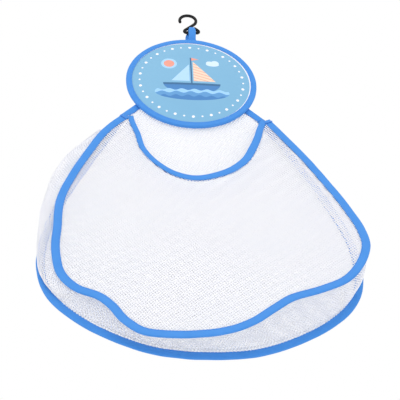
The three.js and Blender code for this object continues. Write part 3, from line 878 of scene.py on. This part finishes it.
def make_head():
    rim = HEAD_RADIUS - HEAD_TAPE_WALL
    back = spun_skin(disc_profile(*LINING_Y, False, rim, 12), 96)
    pad = spun_skin(disc_profile(*FOAM_Y, True, rim, 16), 96)
    front = padded_front(rim)
    bmesh.ops.recalc_face_normals(front, faces=front.faces)
    if front.faces[0].normal.y > 0:
        bmesh.ops.reverse_faces(front, faces=front.faces)
    bmesh.ops.solidify(front, geom=front.faces[:], thickness=PRINT_THICKNESS)
    bmesh.ops.recalc_face_normals(front, faces=front.faces)
    pieces = [
        finish_mesh(bm, name, "head", node, slot, finish)
        for bm, name, node, slot, finish in (
            (back, "head_lining", "head_back_panel", "printed_cloth", LINING_FINISH),
            (pad, "head_foam", "head_pad", "foam", FOAM_FINISH),
            (front, "head_print", "head_front_panel", "printed_cloth", PRINT_FINISH),
        )
    ]


def head_ring(radius, steps):
    """Stations round the head's edge: the way out is away from its axis, and across is along it."""
    turn = np.linspace(0, 2 * math.pi, steps + 1) + math.pi / 2
    outs = np.column_stack([np.cos(turn), np.zeros(steps + 1), np.sin(turn)])
    points = outs * radius + np.array([0, -2.4, HEAD_Z])
    return [points, outs, np.tile([0.0, 1.0, 0.0], (steps + 1, 1))]


make_head()
head_edge = head_ring(HEAD_RADIUS - HEAD_BAND_WIDTH / 2, 240)
wavering = hand_sewn(head_edge, 0.25, 3.0)
for part in wavering:
    part[-1] = part[0]
head_section = fold_section(HEAD_BAND_WIDTH, HEAD_TAPE_HALF, HEAD_TAPE_HALF, 1.4)
finish_mesh(
    swept(head_section, wavering, ring=True),
    "head_binding_tape", "head", "head_binding", "blue_tape", TAPE_FINISH,
)


# Tapes of the bag and their stitching

HOOP_SECTION = fold_section(HOOP_BAND_WIDTH, TAPE_HALF_LIP, 1.55, 1.5)
MOUTH_SECTION = fold_section(MOUTH_BAND_WIDTH, TAPE_HALF_LIP, TAPE_HALF_LIP, 1.1)
NECK_SECTION = fold_section(NECK_TAPE_WIDTH, TAPE_HALF_LIP, TAPE_HALF_LIP, 1.1)

TAPES = [
    ("rear_hoop_tape", "bag", "rear_hoop_binding", HOOP_SECTION, rear_hoop, HOOP_BAND_WIDTH),
    ("front_hoop_tape", "front", "front_hoop_binding", HOOP_SECTION, front_hoop, HOOP_BAND_WIDTH),
    ("mouth_tape", "front", "neckline_binding", MOUTH_SECTION, mouth_edge, MOUTH_BAND_WIDTH),
    ("neck_tape_left", "bag", "neck_binding_left", NECK_SECTION, neck_edges[-1], NECK_TAPE_WIDTH),
    ("neck_tape_right", "bag", "neck_binding_right", NECK_SECTION, neck_edges[1], NECK_TAPE_WIDTH),
]


def sew_both_sides(name, body, stations, width, half_lip):
    """A row of stitches along a tape's lip, seen on both sides."""
    bm = bmesh.new()
    for side in (-1, 1):
        line = offset(stations, -width / 2 + GROOVE, side * (half_lip - GROOVE_DEPTH))
        stitch_row(bm, line, stations[2] * side, 0.05)
    finish_mesh(bm, name, body, None, "blue_thread", THREAD_FINISH)


for seed, (name, body, node, section, stations, width) in enumerate(TAPES):
    sewn = stations if name.startswith("neck") else hand_sewn(stations, 0.35, seed)
    if name == "mouth_tape":
        # Its ends are pressed flat under the hoop's tape
        run = lengths_along(sewn[0])
        pressed = 0.7 + 0.3 * rounded_taper(np.minimum(run, run[-1] - run) - 3, 7)
        sewn[2] = sewn[2] * pressed[:, None]
        # It is narrow on the left, and wide from the middle of the scoop to the right
        spread = np.interp(run / run[-1], *zip(*MOUTH_TAPE_SPREAD))
        sewn[1] = sewn[1] * spread[:, None]
    finish_mesh(swept(section, sewn), name, body, node, "blue_tape", TAPE_FINISH)
    sew_both_sides(name + "_stitches", body, sewn, width, TAPE_HALF_LIP)
sew_both_sides("head_binding_stitches", "head", wavering, HEAD_BAND_WIDTH, HEAD_TAPE_HALF)

# Seam tape behind the head: folded over the top of the net, its lips down
SEAM_TAPE_WIDTH = 8
SEAM_HALF_LIP = 1.4
SEAM_STEPS = 61
seam_half = NECK_HALF_WIDTH + NECK_BAND_WIDTH / 2
seam_z = SEAM_BOTTOM_Z + SEAM_TAPE_WIDTH / 2
seam_points = np.array([(x, 0.85, seam_z) for x in np.linspace(-seam_half, seam_half, SEAM_STEPS)])
seam_edge = [seam_points, np.tile(Z_WAY, (SEAM_STEPS, 1)), np.tile(Y_WAY, (SEAM_STEPS, 1))]
seam_section = fold_section(SEAM_TAPE_WIDTH, SEAM_HALF_LIP, SEAM_HALF_LIP, 1.1)
seam_tape = swept(seam_section, hand_sewn(seam_edge, 0.2, 7.0))
finish_mesh(seam_tape, "seam_tape", "head", "neck_seam_tape", "blue_tape", TAPE_FINISH)
sew_both_sides("seam_tape_stitches", "head", seam_edge, SEAM_TAPE_WIDTH, SEAM_HALF_LIP)


# Net: diamonds of knitted yarn


def inside(outline, points):
    """Which points lie inside a closed outline, all as (x, z)."""
    found = np.zeros(len(points), bool)
    for (x0, z0), (x1, z1) in zip(outline, np.roll(outline, -1, axis=0)):
        crosses = (z0 > points[:, 1]) != (z1 > points[:, 1])
        if z0 != z1:
            at_x = x0 + (points[:, 1] - z0) * (x1 - x0) / (z1 - z0)
            found ^= crosses & (points[:, 0] < at_x)
    return found


def knit_net(low, high, keep, lay, turn):
    """A net over the rectangle from low to high, turned on its middle by some degrees, where keep says,
    laid in space by lay."""
    span = np.array(high, float) - low
    columns, rows = [max(round(span[k] / NET_CELL[k]), 1) for k in (0, 1)]
    bm = bmesh.new()
    bmesh.ops.create_grid(bm, x_segments=columns, y_segments=rows, size=0.5)
    bmesh.ops.scale(bm, vec=(span[0], span[1], 1), verts=bm.verts)
    bmesh.ops.rotate(bm, matrix=Matrix.Rotation(math.radians(turn), 3, "Z"), verts=bm.verts)
    bmesh.ops.translate(bm, vec=(low[0] + span[0] / 2, low[1] + span[1] / 2, 0), verts=bm.verts)
    squares = [e for e in bm.edges if not e.is_boundary]
    bmesh.ops.poke(bm, faces=bm.faces)
    bmesh.ops.dissolve_edges(bm, edges=squares)
    centres = np.array([face.calc_center_median().xy for face in bm.faces])
    spare = [f for f, is_in in zip(bm.faces, keep(centres)) if not is_in or len(f.verts) < 4]
    bmesh.ops.delete(bm, geom=spare, context="FACES")
    holes = bm.faces[:]
    knots = [v for v in bm.verts if not any(e.is_boundary for e in v.link_edges)]
    bmesh.ops.inset_individual(bm, faces=holes, thickness=NET_THREAD / 2, use_even_offset=True)
    bmesh.ops.delete(bm, geom=holes, context="FACES")
    for knot in knots:
        knot.co.z = MESH_HALF
    everything = bm.verts[:] + bm.edges[:] + bm.faces[:]
    bmesh.ops.mirror(bm, geom=everything, axis="Z", merge_dist=1e-3)
    bmesh.ops.recalc_face_normals(bm, faces=bm.faces)
    flat = np.array([v.co for v in bm.verts])
    for vert, place in zip(bm.verts, lay(flat)):
        vert.co = place
    return bm


def nearest_distance(points, line):
    """How far each (x, z) point is from the nearest point of a line."""
    best = np.full(len(points), np.inf)
    for place in line:
        best = np.minimum(best, np.hypot(points[:, 0] - place[0], points[:, 1] - place[1]))
    return best


rear_outline = np.vstack(
    [
        neck_edges[-1][0][:, [0, 2]],
        rear_hoop[0][:, [0, 2]],
        neck_edges[1][0][:, [0, 2]],
    ]
)
rear_outline[0, 1] = rear_outline[-1, 1] = SEAM_BOTTOM_Z + 5


def lay_rear(flat):
    """The rear wall hangs flat, with a slight ripple away from its tapes."""
    free = rounded_taper(nearest_distance(flat, rear_outline), 30)
    at_seam = rounded_taper(SEAM_BOTTOM_Z + 6 - flat[:, 1], 9)
    waves = np.array([ripple(x, z, 70, 1.5) + 0.3 * ripple(x, z, 26, 4.5) for x, z, _ in flat])
    y = REAR_PLANE - 0.55 * (1 - at_seam) + free * waves * 0.8 + flat[:, 2]
    return np.column_stack([flat[:, 0], y, flat[:, 1]])


# The two walls are cut on opposite slants, so their threads never run in step
rear_net = finish_mesh(
    knit_net((-250, -600), (250, -100), lambda points: inside(rear_outline, points), lay_rear, 10),
    "rear_net", None, "rear_mesh_panel", "white_mesh", NET_FINISH,
)
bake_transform(rear_net)


def front_surface():
    """The front wall as a fine sheet: level in the tapes, and bellied and rippled between them."""
    columns, rows = 216, 24
    shares = np.linspace(0, 1, columns + 1)
    mouth_line = edge(mouth_at, even_shares(mouth_at, columns), front_point, front_across, -1)
    hoop_line = edge(front_at, shares, front_point, front_across)
    start = offset(mouth_line, -MOUTH_BAND_WIDTH / 2 - 0.3)
    end = offset(hoop_line, -HOOP_BAND_WIDTH / 2 - 0.3)
    places = np.zeros((columns + 1, rows + 3, 3))
    for i in range(columns + 1):
        reach = np.linalg.norm(end[i] - start[i])
        for j, share in enumerate(np.linspace(0, 1, rows + 1)):
            x, _, z = start[i] + (end[i] - start[i]) * share
            bow = math.sin(math.pi * share)
            waves = 0.45 * ripple(x, z, 70, 2.5) + 0.1 * ripple(x, z, 24, 6.5)
            belly = 0.03 * reach * bow + min(reach / 90, 1) * bow * waves
            places[i, j + 1] = front_point(x, z) - front_across(x, z) * belly
        for j, point in ((0, offset(mouth_line, 4.5)[i]), (rows + 2, offset(hoop_line, 4.8)[i])):
            places[i, j] = front_point(point[0], point[2])
    bm = grid_from(places, (1, 1))
    tree = BVHTree.FromBMesh(bm)
    bm.free()
    return tree


front_tree = front_surface()


def lay_front(flat):
    places = np.zeros((len(flat), 3))
    for i, (x, z, lift) in enumerate(flat):
        hit = front_tree.ray_cast(Vector((x, -300, z)), Vector((0, 1, 0)))[0]
        on_wall = front_point(x, z) if hit is None else np.array(hit)
        places[i] = on_wall + front_across(x, z) * lift
    return places


front_outline = np.vstack([front_hoop[0][:, [0, 2]], offset(mouth_edge, -0.4)[::-1][:, [0, 2]]])
front_net = finish_mesh(
    knit_net((-250, -620), (266, -116), lambda points: inside(front_outline, points), lay_front, -10),
    "front_net", "front", "front_mesh_panel", "white_mesh", NET_FINISH,
)


# Gusset: the strip between the two hoops


def smoothed(table, at):
    """A table's values at some places between its steps, with its corners rounded."""
    steps = np.linspace(0, len(table) - 1, 50 * (len(table) - 1) + 1)
    window = np.hanning(61) / np.hanning(61).sum()
    line = np.pad(np.interp(steps, np.arange(len(table)), table), 30, mode="edge")
    return np.interp(at, steps, np.convolve(line, window, "valid"))


def gusset_places(place, share):
    """Places on the strip, for arrays of steps round the hoops and shares across it."""
    step = place * FINE

    def station(match, part):
        return np.column_stack([np.interp(step, FINE_STEPS, match[part][:, k]) for k in range(3)])

    # The strip is sewn on along the inner lip of each hoop's tape
    lip = HOOP_BAND_WIDTH / 2 - LIP_INSET
    rear_from, rear_out, rear_side = [station(rear_match, part) for part in range(3)]
    front_to, front_out, front_side = [station(front_match, part) for part in range(3)]
    rear_from = rear_from - rear_side * LIP_LIFT - rear_out * lip
    front_to = front_to + front_side * LIP_LIFT - front_out * lip
    span = np.sum((rear_from - front_to) ** 2, axis=1)
    at = place / HOOP_STEPS * (len(LEAN_SHARES) - 1)
    widths = GUSSET_WIDTH * smoothed(GUSSET_WIDTH_SHARES, at)
    lean = smoothed(LEAN_SHARES, at)
    bow = lean * 0.48 * np.sqrt(np.maximum(widths**2 - span, 0))
    mixed = share[:, None]
    out = rear_out * (1 - mixed) + front_out * mixed
    out /= np.linalg.norm(out, axis=1)[:, None]
    bulge = out * (bow * np.sin(math.pi * share))[:, None]
    return rear_from + (front_to - rear_from) * mixed + bulge


def make_gusset(name, start, end):
    front_run = lengths_along(front_match[0])
    first, last = np.interp([start * FINE, end * FINE], FINE_STEPS, front_run)
    length = last - first

    def lay(flat):
        place = np.interp(first + flat[:, 0], front_run, FINE_STEPS) / FINE
        share = np.clip(flat[:, 1] / GUSSET_WIDTH, 0, 1)
        middle = gusset_places(place, share)
        ahead = gusset_places(place + 0.2, share)
        beside = gusset_places(place, np.clip(share + 0.02, 0, 1))
        before = gusset_places(place, np.clip(share - 0.02, 0, 1))
        normal = np.cross(ahead - middle, beside - before)
        normal /= np.maximum(np.linalg.norm(normal, axis=1), 1e-9)[:, None]
        bow = np.sin(math.pi * share)
        waves = np.array(
            [1.6 * ripple(u, v, 26, 8.5) + 0.6 * ripple(u, v, 11, 2.2) for u, v, _ in flat]
        )
        return middle + normal * (flat[:, 2] + waves * bow)[:, None]

    bm = knit_net((0, 0), (length, GUSSET_WIDTH), lambda points: points[:, 0] > -1, lay, 0)
    piece = finish_mesh(bm, name + "_net", None, name, "white_mesh", NET_FINISH)
    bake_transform(piece)


make_gusset("gusset_left", 2, 16)
make_gusset("gusset_bottom", 16, 38)
make_gusset("gusset_right", 38, 52)


# Shoulder tacks, where the bindings meet

for place, node in ((0.3, "shoulder_tack_left"), (HOOP_STEPS - 0.3, "shoulder_tack_right")):
    i = round(place * FINE)
    point, out, across = [part[i] for part in front_match]
    bar_tack(
        node + "_threads", "front", point - across * 1.95, np.cross(out, across), out, -across,
        (HOOP_BAND_WIDTH, TACK_HEIGHT), node,
    )

# Wires and beads stay inside the tapes as they are

for name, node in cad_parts.items():
    if name.endswith("_wire") or "_bead_" in name:
        node.data.materials.clear()
        node.data.materials.append(BEAD_FINISH if "_bead_" in name else SPRING_FINISH)


# Camera, light, floor and background


def aim_camera():
    turn, rise, roll = np.radians([-7.202, -44.851, -3.134])
    back = Vector((math.sin(turn) * math.cos(rise), -math.cos(turn) * math.cos(rise), math.sin(rise)))
    right = Vector((math.cos(turn), math.sin(turn), 0))
    up = back.cross(right)
    side = right * math.cos(roll) + up * math.sin(roll)
    top = up * math.cos(roll) - right * math.sin(roll)
    camera = bpy.data.objects.new("camera", bpy.data.cameras.new("camera"))
    camera.data.lens = 162.16
    camera.data.sensor_width = 36
    place = Vector((3.138, 1.0, -318.449)) * MM + back * 2.0
    camera.matrix_world = Matrix((side, top, back)).transposed().to_4x4()
    camera.location = place
    bpy.context.scene.collection.objects.link(camera)
    bpy.context.scene.camera = camera


def soft_light(name, place, target, size, power):
    light = bpy.data.lights.new(name, "AREA")
    light.size = size
    light.energy = power
    light.color = LAMP_LIGHT
    lamp = bpy.data.objects.new(name, light)
    lamp.location = place
    lamp.rotation_euler = (Vector(target) - Vector(place)).to_track_quat("-Z", "Y").to_euler()
    bpy.context.scene.collection.objects.link(lamp)


def make_floor():
    bm = bmesh.new()
    bmesh.ops.create_grid(bm, x_segments=1, y_segments=1, size=6)
    bmesh.ops.translate(bm, vec=(0, 0, -2.0), verts=bm.verts)
    floor = bpy.data.objects.new("floor", bpy.data.meshes.new("floor"))
    bm.to_mesh(floor.data)
    bm.free()
    bpy.context.scene.collection.objects.link(floor)
    paint = Finish("pale_paint", Roughness=0.8, Base_Color=colour("#F2F3F5"))
    floor.data.materials.append(paint.material)


# The light in the room is a little brighter than the white background, and cool
ROOM_LIGHT = (1.065, 1.055, 1.10, 1)
LAMP_LIGHT = (1.0, 0.99, 1.035)


def light_the_room():
    """White to the camera and in reflections, and a plain level of light on the object."""
    world = bpy.data.worlds.new("studio")
    bpy.context.scene.world = world
    world.use_nodes = True
    tree = world.node_tree
    rays = add_node(tree, "ShaderNodeLightPath", {}).outputs
    seen = calculate(tree, "MAXIMUM", rays["Is Camera Ray"], rays["Is Glossy Ray"])
    through = calculate(tree, "MAXIMUM", seen, rays["Is Transmission Ray"])
    tone = mix_colours(tree, through, ROOM_LIGHT, (1, 1, 1, 1))
    shader = tree.nodes["Background"]
    tree.links.new(tone, shader.inputs["Color"])


aim_camera()
make_floor()
light_the_room()
soft_light("key", (-0.8, -1.9, 0.8), (0, 0, -0.33), 1.2, 5)
soft_light("fill", (0.5, -1.7, -1.5), (0, 0, -0.33), 1.8, 3)
bpy.context.scene.view_settings.view_transform = "Standard"
